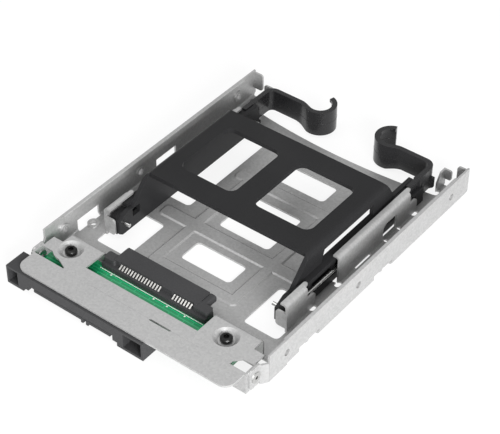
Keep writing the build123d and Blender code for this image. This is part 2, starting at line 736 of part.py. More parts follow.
# Carrier
wall_face = drive_half + drive_gap
wall_out = wall_face + side_wall
with BuildPart() as carrier:
    # Rounded channel along the drive, cut to the side view's outline
    with BuildSketch(front_plane(carrier_rear)) as section:
        with Locations((0, (carrier_foot + carrier_top) / 2)):
            Rectangle(2 * wall_out, carrier_top - carrier_foot)
        fillet(section.vertices().group_by(Axis.Y)[-1], plate_corner)
        with Locations((0, (carrier_foot + carrier_top) / 2 - plate_thick)):
            Rectangle(2 * wall_face, carrier_top - carrier_foot, mode=Mode.SUBTRACT)
    extrude(amount=carrier_rear - front_boss_y)
    with BuildSketch(Plane.YZ.offset(-foot_out)):
        with BuildLine():
            Polyline(
                (front_boss_y, carrier_foot + 1.2), (front_boss_y + 1.6, carrier_foot),
                (carrier_rear, carrier_foot), (carrier_rear, beam_top + 0.4),
                (plate_y[1] + 4.6, beam_top + 0.4), (plate_y[1] + 3.0, beam_top + 3.4),
                (plate_y[1], carrier_top), (plate_y[0], carrier_top),
                (plate_y[0] - 9.4, beam_top - 1.4), (pin_y + 2.0, beam_top - 1.4),
                (front_boss_y, pin_z + 1.6), (front_boss_y, carrier_foot + 1.2),
            )
        make_face()
    extrude(amount=2 * foot_out, mode=Mode.INTERSECT)
    for y0, y1 in ((front_boss_y, plate_y[0]), (plate_y[1], carrier_rear)):
        with Locations((0, (y0 + y1) / 2, carrier_top)):
            Box(2 * wall_face, y1 - y0, 4 * plate_thick, mode=Mode.SUBTRACT)
    for side in (-1, 1):
        # Ledges of the foot above and below the wire
        inner = wall_out if side > 0 else -foot_out
        for z0, z1, y0, y1 in (
            (beam_top - 1.9, beam_top, pin_y + front_block, carrier_rear),
            (carrier_foot, carrier_foot + 3.2, front_boss_y + 1.0, carrier_rear),
            (carrier_foot, beam_top - 2.0, front_boss_y + 0.4, pin_y + front_block),
            (carrier_foot, beam_top, carrier_rear - rear_block, carrier_rear),
        ):
            with BuildSketch(Plane.YZ.offset(inner)):
                with Locations(((y0 + y1) / 2, (z0 + z1) / 2)):
                    Rectangle(y1 - y0, z1 - z0)
            extrude(amount=foot_out - wall_out)
        # Saddles that hold the wire off the wall
        for y in saddle_y:
            reach = wire_x - wire_r - wall_out
            with Locations((side * (wall_out + reach / 2), y, pin_z)):
                Box(reach, 2.4, beam_top - 1.9 - carrier_foot - 3.2 + 4.4)
    # Two windows in the plate and the long slot in each skirt
    with BuildSketch(Plane.XY.offset(carrier_top - plate_thick)):
        window(plate_window, plate_window_r)
        window(mirror_box(plate_window), plate_window_r)
    extrude(amount=plate_thick, mode=Mode.SUBTRACT)
    with BuildSketch(Plane.YZ.offset(-foot_out)):
        with BuildLine():
            y0, y1, z0, z1 = skirt_slot
            Polyline(
                (y0, z0), (y1, z0), (y1, z1), (y0 + 1.6, z1), (y0, z0),
            )
        make_face()
    extrude(amount=2 * foot_out, mode=Mode.SUBTRACT)
    # Square pocket in each front leg
    with BuildSketch(Plane.YZ.offset(-foot_out)):
        with Locations((pin_y + 6.8, pin_z + 1.6)):
            Rectangle(4.0, 3.6)
    extrude(amount=2 * foot_out, mode=Mode.SUBTRACT)
    # Blocks with open sockets that the lever knuckles turn in
    for side in (-1, 1):
        with BuildSketch(Plane.XY.offset(carrier_foot)):
            with Locations((side * lever_x, (carrier_rear + lever_y) / 2 - 1)):
                Rectangle(2 * knuckle_block[0], lever_y + 2 * knuckle_block[1] - carrier_rear + 2)
        extrude(amount=knuckle_top - carrier_foot)
        # Room above the block for the lever's root to swing
        with Locations((side * (wall_out + 3), (root_start + carrier_rear) / 2 + 1, lever_top)):
            Box(
                6, carrier_rear - root_start + 2 + 2 * root_gap, 2 * (lever_top - knuckle_top),
                mode=Mode.SUBTRACT,
            )
        with BuildSketch(Plane.XY.offset(lever_foot - seat_gap)):
            with Locations((side * lever_x, lever_y)):
                Circle(knuckle_r + knuckle_slip)
            with BuildLine():
                Polyline(
                    (side * lever_x, lever_y),
                    (side * (lever_x + 6 * sin(radians(mouth_out))), lever_y + 6 * cos(radians(mouth_out))),
                    (side * (lever_x - 6 * sin(radians(mouth_in))), lever_y + 6 * cos(radians(mouth_in))),
                    (side * lever_x, lever_y),
                )
            make_face()
        extrude(amount=lever_top, mode=Mode.SUBTRACT)


def wire_clip(side):
    """Spring wire along one side, both ends turned in as drive pins."""
    with BuildLine() as path:
        FilletPolyline(
            (side * pin_tip, pin_y, pin_z),
            (side * wire_x, pin_y, pin_z),
            (side * wire_x, pin_y + pin_pitch, pin_z),
            (side * pin_tip, pin_y + pin_pitch, pin_z),
            radius=wire_bend,
        )
    with BuildSketch(Plane(origin=path.line @ 0, z_dir=path.line % 0)) as section:
        Circle(wire_r)
    sweep(section.sketch, path=path.line)


with BuildPart() as wire_clip_right:
    wire_clip(1)
wire_clip_right.part.label = "wire_clip_right"

with BuildPart() as wire_clip_left:
    wire_clip(-1)
wire_clip_left.part.label = "wire_clip_left"

# Holes through the carrier's walls for the pins, and open grooves for the wires' bends
with carrier:
    pin_rear_y = pin_y + pin_pitch
    groove = wire_r + slip
    block_out = lever_x + knuckle_block[0]
    grooves = (
        (pin_y, pin_y - groove, pin_y + front_block + slip),
        (pin_rear_y, carrier_rear - rear_block - slip, pin_rear_y + groove),
    )
    for side in (-1, 1):
        for y, y0, y1 in grooves:
            with Locations(Location((side * wall_face, y, pin_z), (0, 90, 0))):
                Cylinder(wire_r + hole_slip, 4 * side_wall, mode=Mode.SUBTRACT)
            with Locations((side * (wall_out + block_out) / 2, (y0 + y1) / 2, pin_z)):
                Box(block_out - wall_out, y1 - y0, 2 * groove, mode=Mode.SUBTRACT)
carrier.part.label = "carrier"


def lever_path(shift):
    """Plan line of the right lever from its knuckle to the end of its finger hook."""
    start = (lever_x + shift, root_start)
    bend_y = corner_y - corner_r
    arm = Line(start, (lever_x + shift, bend_y))
    turn = JernArc(arm @ 1, (0, 1), corner_r + shift, 90)
    run = Line(turn @ 1, (arm_end_x, (turn @ 1).Y))
    dip = JernArc(run @ 1, (-1, 0), dip_r + shift, sweep_down)
    link = Line(dip @ 1, dip @ 1 + link_length * (dip % 1))
    JernArc(link @ 1, link % 1, hook_r - shift, -hook_turn)


with BuildPart() as lever_right:
    with BuildSketch(Plane.XY.offset(hook_foot)):
        with BuildLine() as middle_line:
            lever_path(0)
        trace(middle_line.line, strip)
    extrude(amount=lever_top - hook_foot)
    # Hollow between the rims on the hook's inner side
    with BuildSketch(Plane.XY.offset(hook_foot + rim)):
        with BuildLine() as hollow_line:
            lever_path(strip / 2)
        trace(hollow_line.line, 2 * (strip - strip_web))
        with Locations((lever_x, root_start + 6)):
            Rectangle(12, 26, mode=Mode.SUBTRACT)
    extrude(amount=lever_top - hook_foot - 2 * rim, mode=Mode.SUBTRACT)
    # The arm is shallower than the hook, with a slope between
    with BuildSketch(front_plane(corner_y + 8)):
        with BuildLine():
            Polyline(
                (arm_end_x - 5.0, hook_foot), (arm_end_x + 1.0, lever_foot),
                (lever_x + 4, lever_foot), (lever_x + 4, hook_foot - 1),
                (arm_end_x - 5.0, hook_foot - 1), (arm_end_x - 5.0, hook_foot),
            )
        make_face()
    extrude(amount=corner_y - lever_y + 12, mode=Mode.SUBTRACT)
    # The root passes over the carrier's block, and only the knuckle stands in its socket
    with Locations((lever_x, (root_start + lever_y + knuckle_block[1]) / 2, lever_foot / 2)):
        Box(
            8, lever_y + knuckle_block[1] - root_start + 2 * root_gap,
            2 * (knuckle_top + root_gap) - lever_foot, mode=Mode.SUBTRACT,
        )
    with Locations((lever_x, lever_y, (lever_foot + lever_top) / 2)):
        Cylinder(knuckle_r, lever_top - lever_foot)
    with Locations((lever_x, lever_y + knuckle_r, (lever_foot + knuckle_top) / 2 + 0.5)):
        Box(strip - 0.4, 2 * knuckle_r, knuckle_top + 1.0 - lever_foot)
    # Catch that stands in front of the latch plate
    with BuildSketch(Plane.XY.offset(catch_z[0])):
        with BuildLine():
            Polyline(
                (lever_x, catch_y[0]), (catch_out, catch_y[1]), (catch_out, catch_y[2]),
                (lever_x, catch_y[2]), (lever_x, catch_y[0]),
            )
        make_face()
    extrude(amount=catch_z[1] - catch_z[0])
lever_right.part.label = "lever_right"

with BuildPart() as lever_left:
    add(mirror(lever_right.part, Plane.YZ))
lever_left.part.label = "lever_left"

# The row's origin is the middle of the four bottom holes, on the tray's underside
pattern_y = (bottom_hole_y[0] + bottom_hole_y[1]) / 2
for piece in (
    tray, corner_eyelets, adapter_board, board_screws, board_nuts,
    drive_socket, socket_power_contacts, socket_signal_contacts, socket_clips,
    bay_plug, plug_power_contacts, plug_signal_contacts,
    carrier, wire_clip_left, wire_clip_right, lever_left, lever_right,
):
    piece.part.move(Location((0, -pattern_y, 0)))
    export_step(piece.part, f"parts/{piece.part.label}.step")
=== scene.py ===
"""Looks of the drive mounting bracket, laid out as a Blender add-on and run as a script."""

import json
import math

import bmesh
import bpy
from mathutils import Matrix, Vector

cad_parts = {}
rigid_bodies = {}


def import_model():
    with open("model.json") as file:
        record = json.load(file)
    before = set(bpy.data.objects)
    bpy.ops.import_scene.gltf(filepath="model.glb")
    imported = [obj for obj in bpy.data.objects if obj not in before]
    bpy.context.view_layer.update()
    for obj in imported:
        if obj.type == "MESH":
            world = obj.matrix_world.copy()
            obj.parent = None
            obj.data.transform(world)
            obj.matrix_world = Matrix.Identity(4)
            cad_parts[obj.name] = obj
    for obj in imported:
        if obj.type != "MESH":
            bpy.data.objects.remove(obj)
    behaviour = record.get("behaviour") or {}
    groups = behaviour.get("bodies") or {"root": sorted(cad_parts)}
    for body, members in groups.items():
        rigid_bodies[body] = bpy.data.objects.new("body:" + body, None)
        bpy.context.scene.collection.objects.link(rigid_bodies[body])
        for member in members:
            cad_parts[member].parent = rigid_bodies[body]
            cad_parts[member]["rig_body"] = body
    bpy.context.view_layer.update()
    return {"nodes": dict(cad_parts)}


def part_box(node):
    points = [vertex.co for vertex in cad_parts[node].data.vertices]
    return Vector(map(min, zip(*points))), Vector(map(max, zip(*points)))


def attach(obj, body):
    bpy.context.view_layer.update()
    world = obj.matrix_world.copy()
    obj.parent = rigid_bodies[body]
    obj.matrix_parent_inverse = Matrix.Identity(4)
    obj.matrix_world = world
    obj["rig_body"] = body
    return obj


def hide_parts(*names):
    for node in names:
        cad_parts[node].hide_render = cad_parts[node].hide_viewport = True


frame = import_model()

bl_info = {
    "name": "Drive Bracket Looks",
    "version": (1, 0, 0),
    "blender": (4, 5, 0),
    "location": "View3D > Sidebar > Bracket",
    "description": "Finishes, small details and the stage for the drive mounting bracket",
    "category": "Object",
}

MM = 0.001
NODES = frame["nodes"]


# Millimetres, in the row's frame but for PRINT_LINE_Y and MARK_Y, which run from the plug's front

PLUG_FRONT_Y = -63.505
BOARD_TOP_Z = 4.6
PRINT_LINE_Y = 22.6
PRINT_LINE_X = (-27.4, 19.4)
PRINT_WIDTH = 0.28
PRINT_HEIGHT = 0.02
MARK_X = (-21.6, -2.05, 4.0, 11.9)
MARK_Y = 21.9
MARK_SIZE = 0.6
PARTING_Z = 6.6
PARTING_FRONT_Y = 64.6
PARTING_RADIUS = 0.07
CAMERA_TARGET = (-5.426, 17.309, 0)
SENSOR_WIDTH = 36

# Metres

MERGE_GAP = 1e-6
SMALL_EDGE = 0.00012
PLUG_EDGE = 0.00015
FLOOR_HALF = 4.0
FLOOR_DROP = 0.0001
CLIP_START = 0.01
LAMP_TARGET = (0, 0.01, 0)
KEY_PLACE = (-0.15, -0.1, 0.75)
KEY_SIZE = 0.6
FILL_PLACE = (0.75, -0.55, 0.35)
FILL_SIZE = 0.5

# Degrees

FLAT_ANGLE = 0.5
SHARP_EDGE = 35.0
SHARP_SHADING = 50.0

# Counts, shares and colours

PHOTO_WIDTH_PX = 500
BEVEL_STEPS = 2
NORMAL_WEIGHT = 100
REAR_MARGIN_RADII = 4
PAPER_LIT_SHARE = 0.85
PAPER_COLOUR = (0.86, 0.86, 0.86, 1)
WHITE = (1, 1, 1, 1)
EYELET_STEEL = (0.62, 0.62, 0.61)
BLACK_OXIDE = (0.05, 0.05, 0.05)
NUT_ZINC = (0.60, 0.60, 0.60)
SPRING_STEEL = (0.72, 0.72, 0.71)
GOLD = (0.86, 0.66, 0.32)
METAL_GRAIN_SCALE = 1800.0
CONTACT_GRAIN_SCALE = 3000.0


class SteelFinish(bpy.types.PropertyGroup):
    """Galvanised sheet and its pressed edges."""

    light: bpy.props.FloatVectorProperty(
        name="Light zinc", description="Colour of the lighter zinc grains",
        subtype="COLOR", size=3, min=0, max=1, default=(0.46, 0.46, 0.458),
    )
    dark: bpy.props.FloatVectorProperty(
        name="Dark zinc", description="Colour of the darker zinc grains",
        subtype="COLOR", size=3, min=0, max=1, default=(0.37, 0.37, 0.37),
    )
    roughness: bpy.props.FloatProperty(
        name="Roughness", description="Middle roughness of the sheet",
        subtype="FACTOR", min=0, max=1, default=0.44,
    )
    grain: bpy.props.FloatProperty(
        name="Grain size", description="Width of one zinc grain",
        subtype="DISTANCE", unit="LENGTH", default=0.0007,
    )
    edge: bpy.props.FloatProperty(
        name="Edge rounding", description="Radius left on the sheet's cut edges",
        subtype="DISTANCE", unit="LENGTH", default=0.00018,
    )


class PlasticFinish(bpy.types.PropertyGroup):
    """Black plastics of the carrier, levers and connectors."""

    carrier: bpy.props.FloatVectorProperty(
        name="Carrier black", description="Colour of the carrier's plastic",
        subtype="COLOR", size=3, min=0, max=1, default=(0.009, 0.009, 0.0095),
    )
    lever: bpy.props.FloatVectorProperty(
        name="Lever black", description="Colour of the levers' plastic",
        subtype="COLOR", size=3, min=0, max=1, default=(0.006, 0.006, 0.0065),
    )
    connector: bpy.props.FloatVectorProperty(
        name="Connector black", description="Colour of the plug and the drive socket",
        subtype="COLOR", size=3, min=0, max=1, default=(0.022, 0.022, 0.023),
    )
    spark: bpy.props.FloatProperty(
        name="Spark size", description="Width of one dimple of the eroded texture",
        subtype="DISTANCE", unit="LENGTH", default=0.00035,
    )
    edge: bpy.props.FloatProperty(
        name="Edge rounding", description="Radius left on moulded edges",
        subtype="DISTANCE", unit="LENGTH", default=0.00025,
    )


class BoardFinish(bpy.types.PropertyGroup):
    """Solder resist, ink and metal of the circuit board."""

    resist: bpy.props.FloatVectorProperty(
        name="Resist", description="Colour of the solder resist",
        subtype="COLOR", size=3, min=0, max=1, default=(0.005, 0.235, 0.088),
    )
    ink: bpy.props.FloatVectorProperty(
        name="Ink", description="Colour of the printed outline",
        subtype="COLOR", size=3, min=0, max=1, default=(0.80, 0.82, 0.78),
    )
    pin: bpy.props.FloatVectorProperty(
        name="Tin", description="Colour of the tinned contact tails",
        subtype="COLOR", size=3, min=0, max=1, default=(0.80, 0.79, 0.76),
    )


class StageSettings(bpy.types.PropertyGroup):
    """Camera of the photograph's view, and the light."""

    azimuth: bpy.props.FloatProperty(
        name="Azimuth", description="Camera's turn about Z, from the front",
        subtype="ANGLE", unit="ROTATION", default=math.radians(37.533),
    )
    elevation: bpy.props.FloatProperty(
        name="Elevation", description="Camera's height angle",
        subtype="ANGLE", unit="ROTATION", default=math.radians(41.132),
    )
    roll: bpy.props.FloatProperty(
        name="Roll", description="Camera's turn about its own axis",
        subtype="ANGLE", unit="ROTATION", default=math.radians(0.432),
    )
    distance: bpy.props.FloatProperty(
        name="Distance", description="Camera to target",
        subtype="DISTANCE", unit="LENGTH", default=0.596977,
    )
    focal_px: bpy.props.FloatProperty(
        name="Focal length", description="In pixels of the photograph's width", default=1608.526,
    )
    key_power: bpy.props.FloatProperty(
        name="Key light", description="Power of the overhead soft light", unit="POWER", default=2.3,
    )
    fill_power: bpy.props.FloatProperty(
        name="Front light", description="Power of the soft light from the front right",
        unit="POWER", default=19.0,
    )
    sky: bpy.props.FloatProperty(
        name="Surround", description="Strength of the pale surround", default=0.62,
    )


# Node trees

def new_material(name):
    """An empty node material with its output."""
    made = bpy.data.materials.new(name)
    made.use_nodes = True
    made.node_tree.nodes.clear()
    made.node_tree.nodes.new("ShaderNodeOutputMaterial")
    return made


def put(tree, kind, **settings):
    """A new node: settings named after its properties set those, and the others its sockets."""
    node = tree.nodes.new(kind)
    for key, value in settings.items():
        if hasattr(node, key):
            setattr(node, key, value)
        else:
            node.inputs[key.replace("_", " ")].default_value = value
    return node


def output_of(tree):
    """The material's output node."""
    return next(n for n in tree.nodes if n.type == "OUTPUT_MATERIAL")


def shader(made, **sockets):
    """The material's Principled BSDF, wired to its output, with plain values on its sockets."""
    tree = made.node_tree
    node = tree.nodes.new("ShaderNodeBsdfPrincipled")
    for key, value in sockets.items():
        node.inputs[key.replace("_", " ")].default_value = value
    tree.links.new(node.outputs["BSDF"], output_of(tree).inputs["Surface"])
    return node


def group_tree(name, inputs, outputs):
    """An empty shader node group with named number sockets, and its two end nodes."""
    tree = bpy.data.node_groups.new(name, "ShaderNodeTree")
    for label, default in inputs:
        socket = tree.interface.new_socket(label, in_out="INPUT", socket_type="NodeSocketFloat")
        socket.default_value = default
    for label in outputs:
        tree.interface.new_socket(label, in_out="OUTPUT", socket_type="NodeSocketFloat")
    return tree, tree.nodes.new("NodeGroupInput"), tree.nodes.new("NodeGroupOutput")


def placed_group(tree, group, **values):
    """A node that uses a group, with plain values on its sockets."""
    node = tree.nodes.new("ShaderNodeGroup")
    node.node_tree = group
    for key, value in values.items():
        node.inputs[key.replace("_", " ")].default_value = value
    return node


def fine_grain_group():
    """Two sizes of noise over the surface: a height for bumps and a mask for colour."""
    if "Fine Grain" in bpy.data.node_groups:
        return bpy.data.node_groups["Fine Grain"]
    tree, start, end = group_tree(
        "Fine Grain",
        [("Fine Scale", 2500.0), ("Broad Scale", 60.0), ("Broad Share", 0.3)],
        ["Height", "Mask"],
    )
    place = tree.nodes.new("ShaderNodeTexCoord")
    fine = put(tree, "ShaderNodeTexNoise", Detail=3.0, Roughness=0.6)
    broad = put(tree, "ShaderNodeTexNoise", Detail=2.0)
    mixed = put(tree, "ShaderNodeMix", data_type="FLOAT")
    link = tree.links.new
    for noise, scale in ((fine, "Fine Scale"), (broad, "Broad Scale")):
        link(place.outputs["Object"], noise.inputs["Vector"])
        link(start.outputs[scale], noise.inputs["Scale"])
    link(start.outputs["Broad Share"], mixed.inputs["Factor"])
    link(fine.outputs["Fac"], mixed.inputs["A"])
    link(broad.outputs["Fac"], mixed.inputs["B"])
    link(fine.outputs["Fac"], end.inputs["Height"])
    link(mixed.outputs["Result"], end.inputs["Mask"])
    return tree


def zinc_grain_group():
    """Crystal grains of a zinc coat with the fine lines of the rolling mill."""
    if "Zinc Grain" in bpy.data.node_groups:
        return bpy.data.node_groups["Zinc Grain"]
    tree, start, end = group_tree(
        "Zinc Grain",
        [("Grain Scale", 450.0), ("Line Scale", 3000.0)],
        ["Mask", "Height"],
    )
    link = tree.links.new
    place = tree.nodes.new("ShaderNodeTexCoord")
    grain = put(tree, "ShaderNodeTexVoronoi", Randomness=1.0)
    shade = tree.nodes.new("ShaderNodeSeparateColor")
    cloud = put(tree, "ShaderNodeTexNoise", Scale=35.0, Detail=4.0, Roughness=0.65)
    drawn = put(tree, "ShaderNodeMapping", Scale=(1.0, 0.03, 1.0))
    lines = put(tree, "ShaderNodeTexNoise", Detail=3.0, Roughness=0.7)
    first = put(tree, "ShaderNodeMix", data_type="FLOAT", Factor=0.45)
    second = put(tree, "ShaderNodeMix", data_type="FLOAT", Factor=0.35)
    link(place.outputs["Object"], grain.inputs["Vector"])
    link(start.outputs["Grain Scale"], grain.inputs["Scale"])
    link(grain.outputs["Color"], shade.inputs["Color"])
    link(place.outputs["Object"], cloud.inputs["Vector"])
    link(place.outputs["Object"], drawn.inputs["Vector"])
    link(drawn.outputs["Vector"], lines.inputs["Vector"])
    link(start.outputs["Line Scale"], lines.inputs["Scale"])
    link(shade.outputs["Red"], first.inputs["A"])
    link(cloud.outputs["Fac"], first.inputs["B"])
    link(first.outputs["Result"], second.inputs["A"])
    link(lines.outputs["Fac"], second.inputs["B"])
    link(second.outputs["Result"], end.inputs["Mask"])
    link(lines.outputs["Fac"], end.inputs["Height"])
    return tree


def ranged(tree, source, low, high):
    """A map of a mask from 0.25..0.75 onto low..high."""
    node = put(tree, "ShaderNodeMapRange", From_Min=0.25, From_Max=0.75, To_Min=low, To_Max=high)
    tree.links.new(source, node.inputs["Value"])
    return node.outputs["Result"]


def tinted(tree, source, first, second):
    """A colour between first and second by a mask."""
    node = put(tree, "ShaderNodeMix", data_type="RGBA")
    node.inputs["A"].default_value = (*first, 1)
    node.inputs["B"].default_value = (*second, 1)
    tree.links.new(source, node.inputs["Factor"])
    return node.outputs["Result"]


def bumped(tree, height, into, strength, distance):
    """Bumps the shader's normal by a height, over a distance in metres."""
    node = put(tree, "ShaderNodeBump", Strength=strength, Distance=distance)
    tree.links.new(height, node.inputs["Height"])
    tree.links.new(node.outputs["Normal"], into.inputs["Normal"])


def zinc_material(name, light, dark, roughness, grain):
    """Galvanised sheet whose rougher grains are the darker ones."""
    made = new_material(name)
    tree = made.node_tree
    spread = 0.06
    body = shader(made, Metallic=0.6, Specular_IOR_Level=0.5)
    zinc = placed_group(tree, zinc_grain_group(), Grain_Scale=1 / grain)
    mask = zinc.outputs["Mask"]
    link = tree.links.new
    link(tinted(tree, ranged(tree, mask, 0, 1), dark, light), body.inputs["Base Color"])
    link(ranged(tree, mask, roughness + spread, roughness - spread), body.inputs["Roughness"])
    bumped(tree, zinc.outputs["Height"], body, strength=0.12, distance=0.00004)
    return made


def plastic_material(name, colour, roughness, spark, strength, specular, coat=0.0):
    """Moulded plastic with an eroded texture."""
    made = new_material(name)
    tree = made.node_tree
    spread = 0.07
    body = shader(made, Coat_Weight=coat, Coat_Roughness=0.25, Specular_IOR_Level=specular)
    grain = placed_group(tree, fine_grain_group(), Fine_Scale=1 / spark, Broad_Scale=45.0)
    mask = grain.outputs["Mask"]
    lighter = tuple(1.9 * c + 0.004 for c in colour)
    link = tree.links.new
    link(tinted(tree, ranged(tree, mask, 0, 1), colour, lighter), body.inputs["Base Color"])
    link(ranged(tree, mask, roughness - spread, roughness + spread), body.inputs["Roughness"])
    bumped(tree, grain.outputs["Height"], body, strength=strength, distance=0.00006)
    return made


def metal_material(name, colour, roughness, scale=METAL_GRAIN_SCALE):
    """Bare or plated metal with a fine grain."""
    made = new_material(name)
    tree = made.node_tree
    body = shader(made, Metallic=1.0)
    grain = placed_group(tree, fine_grain_group(), Fine_Scale=scale, Broad_Scale=300.0)
    mask = grain.outputs["Mask"]
    darker = tuple(0.72 * c for c in colour)
    link = tree.links.new
    link(tinted(tree, ranged(tree, mask, 0, 1), darker, colour), body.inputs["Base Color"])
    link(ranged(tree, mask, roughness - 0.06, roughness + 0.08), body.inputs["Roughness"])
    bumped(tree, grain.outputs["Height"], body, strength=0.1, distance=0.00002)
    return made


def board_material(name, resist):
    """Glossy resist over copper tracks that show as a slightly lighter maze."""
    made = new_material(name)
    tree = made.node_tree
    body = shader(made, Roughness=0.28, Coat_Weight=0.5, Coat_Roughness=0.12)
    link = tree.links.new
    place = tree.nodes.new("ShaderNodeTexCoord")
    brick = put(
        tree, "ShaderNodeTexBrick", Scale=260.0, Mortar_Size=0.06, Brick_Width=1.7, Row_Height=0.35,
    )
    grain = placed_group(tree, fine_grain_group(), Fine_Scale=1500.0, Broad_Scale=120.0)
    lighter = tuple(min(1.0, 1.5 * c + 0.01) for c in resist)
    link(place.outputs["Object"], brick.inputs["Vector"])
    link(tinted(tree, brick.outputs["Fac"], resist, lighter), body.inputs["Base Color"])
    bumped(tree, grain.outputs["Height"], body, strength=0.08, distance=0.00003)
    return made


def ink_material(name, colour):
    """Matt printing ink."""
    made = new_material(name)
    tree = made.node_tree
    body = shader(made, Roughness=0.55)
    grain = placed_group(tree, fine_grain_group(), Fine_Scale=4000.0, Broad_Scale=500.0)
    darker = tuple(0.8 * c for c in colour)
    tree.links.new(
        tinted(tree, ranged(tree, grain.outputs["Mask"], 0, 1), darker, colour),
        body.inputs["Base Color"],
    )
    return made


# Meshes

def placed(name, data):
    """A new object in the scene."""
    made = bpy.data.objects.new(name, data)
    bpy.context.scene.collection.objects.link(made)
    return made


def baked(piece):
    """The piece's mesh with its modifiers or its curve made real."""
    graph = bpy.context.evaluated_depsgraph_get()
    return bpy.data.meshes.new_from_object(piece.evaluated_get(graph), depsgraph=graph)


def dress(node_name, made):
    """Gives a CAD node its material."""
    mesh = NODES[node_name].data
    mesh.materials.clear()
    mesh.materials.append(made)


def softened(node_name, made, radius):
    """A copy of a CAD node with its sharp edges rounded, which stands for the node."""
    source = NODES[node_name]
    mesh = source.data.copy()
    mesh.name = f"{node_name}_soft"
    work = bmesh.new()
    work.from_mesh(mesh)
    bmesh.ops.remove_doubles(work, verts=work.verts, dist=MERGE_GAP)
    bmesh.ops.dissolve_limit(
        work, angle_limit=math.radians(FLAT_ANGLE), verts=work.verts, edges=work.edges,
        delimit={"NORMAL"},
    )
    sharp = math.radians(SHARP_EDGE)
    edges = [e for e in work.edges if e.is_manifold and e.calc_face_angle(0) > sharp]
    bmesh.ops.bevel(
        work, geom=edges, offset=radius, offset_type="OFFSET", segments=BEVEL_STEPS, profile=0.5,
        affect="EDGES", clamp_overlap=True, miter_outer="SHARP", miter_inner="SHARP",
    )
    work.to_mesh(mesh)
    work.free()
    mesh.materials.clear()
    mesh.materials.append(made)
    piece = placed(f"{node_name}_soft", mesh)
    for face in mesh.polygons:
        face.use_smooth = True
    mesh.set_sharp_from_angle(angle=math.radians(SHARP_SHADING))
    even_normals(piece)
    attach(piece, source["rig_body"])
    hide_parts(node_name)


def even_normals(piece):
    """Keeps large flat faces flat beside rounded edges."""
    even = piece.modifiers.new("even_normals", "WEIGHTED_NORMAL")
    even.weight = NORMAL_WEIGHT
    even.keep_sharp = True
    made = baked(piece)
    piece.modifiers.clear()
    piece.data = made


def settings(context):
    """The scene's values for steel, plastics and board."""
    return context.scene.bracket_steel, context.scene.bracket_plastic, context.scene.bracket_board


class BRACKET_OT_dress_tray(bpy.types.Operator):
    """Finish the sheet steel tray and its corner eyelets."""

    bl_idname = "bracket.dress_tray"
    bl_label = "Dress Tray"

    def execute(self, context):
        steel, _, _ = settings(context)
        zinc = zinc_material(
            "Galvanised Sheet", tuple(steel.light), tuple(steel.dark), steel.roughness, steel.grain,
        )
        softened("tray", zinc, steel.edge)
        dress("corner_eyelets", metal_material("Eyelet Steel", EYELET_STEEL, roughness=0.33))
        return {"FINISHED"}


def raised_strips(name, strips, z, height):
    """Thin strips that lie on z: each is low x, high x, low y, high y, in millimetres."""
    work = bmesh.new()
    for x0, x1, y0, y1 in strips:
        corners = [(x0, y0), (x1, y0), (x1, y1), (x0, y1)]
        face = work.faces.new([work.verts.new(Vector((x, y, z)) * MM) for x, y in corners])
        grown = bmesh.ops.extrude_face_region(work, geom=[face])["geom"]
        top = [v for v in grown if isinstance(v, bmesh.types.BMVert)]
        bmesh.ops.translate(work, verts=top, vec=(0, 0, height * MM))
    bmesh.ops.recalc_face_normals(work, faces=work.faces)
    mesh = bpy.data.meshes.new(name)
    work.to_mesh(mesh)
    work.free()
    return placed(name, mesh)


class BRACKET_OT_print_board(bpy.types.Operator):
    """Add the printed outline and position marks beside the drive socket."""

    bl_idname = "bracket.print_board"
    bl_label = "Print Board"

    def execute(self, context):
        _, _, board = settings(context)
        line_y = PRINT_LINE_Y + PLUG_FRONT_Y
        mark_y = MARK_Y + PLUG_FRONT_Y
        half = MARK_SIZE / 2
        line = (*PRINT_LINE_X, line_y - PRINT_WIDTH / 2, line_y + PRINT_WIDTH / 2)
        marks = [(x - half, x + half, mark_y - half, mark_y + half) for x in MARK_X]
        printed = raised_strips("board_print", [line, *marks], BOARD_TOP_Z, PRINT_HEIGHT)
        printed.data.materials.append(ink_material("Printed Ink", tuple(board.ink)))
        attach(printed, NODES["adapter_board"]["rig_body"])
        return {"FINISHED"}


class BRACKET_OT_dress_board(bpy.types.Operator):
    """Finish the circuit board, its screws and nuts."""

    bl_idname = "bracket.dress_board"
    bl_label = "Dress Board"

    def execute(self, context):
        _, _, board = settings(context)
        dress("adapter_board", board_material("Green Resist", tuple(board.resist)))
        screw = metal_material("Black Oxide Screw", BLACK_OXIDE, roughness=0.28)
        softened("board_screws", screw, SMALL_EDGE)
        dress("board_nuts", metal_material("Zinc Nut", NUT_ZINC, roughness=0.35))
        return {"FINISHED"}


class BRACKET_OT_dress_connectors(bpy.types.Operator):
    """Finish the drive socket, the plug and their contacts."""

    bl_idname = "bracket.dress_connectors"
    bl_label = "Dress Connectors"

    def execute(self, context):
        _, plastic, board = settings(context)
        moulded = plastic_material(
            "Connector Plastic", tuple(plastic.connector), roughness=0.5, spark=plastic.spark,
            strength=0.3, specular=0.2,
        )
        softened("drive_socket", moulded, SMALL_EDGE)
        softened("bay_plug", moulded, PLUG_EDGE)
        tin = metal_material(
            "Tinned Contact", tuple(board.pin), roughness=0.25, scale=CONTACT_GRAIN_SCALE,
        )
        for node in ("socket_power_contacts", "socket_signal_contacts", "socket_clips"):
            dress(node, tin)
        gold = metal_material("Gold Flash", GOLD, roughness=0.25, scale=CONTACT_GRAIN_SCALE)
        for node in ("plug_power_contacts", "plug_signal_contacts"):
            dress(node, gold)
        return {"FINISHED"}


